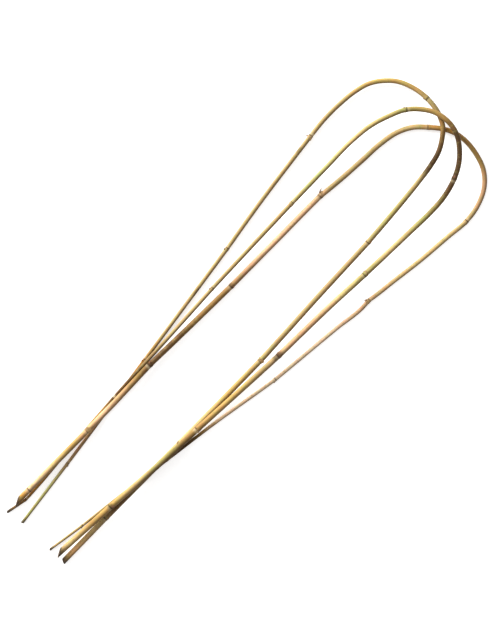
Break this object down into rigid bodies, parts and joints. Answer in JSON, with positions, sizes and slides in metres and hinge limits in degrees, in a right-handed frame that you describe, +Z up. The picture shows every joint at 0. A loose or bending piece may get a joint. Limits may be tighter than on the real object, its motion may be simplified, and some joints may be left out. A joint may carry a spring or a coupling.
{
  "type": "bent bamboo hoops",
  "caption": "Bamboo canes, each bent into a long narrow U, lying fanned out and crossing each other on a flat surface.",
  "frame": {"origin": "on the surface the bundle lies on, under the middle of its outline", "axes": "+Y along the bundle, from the cane ends towards the bends; +Z up; +X towards the right hoop"},
  "size_m": [0.271, 0.9018, 0.0255],
  "materials": {
    "left_cane": "dry golden bamboo with a low natural sheen",
    "middle_cane": "dry bamboo, golden with olive patches, low natural sheen",
    "right_cane": "dry bamboo, tan brown, low natural sheen"
  },
  "bodies": {
    "root": {"left_hoop": "left_cane", "middle_hoop": "middle_cane", "right_hoop": "right_cane"}
  },
  "joints": []
}
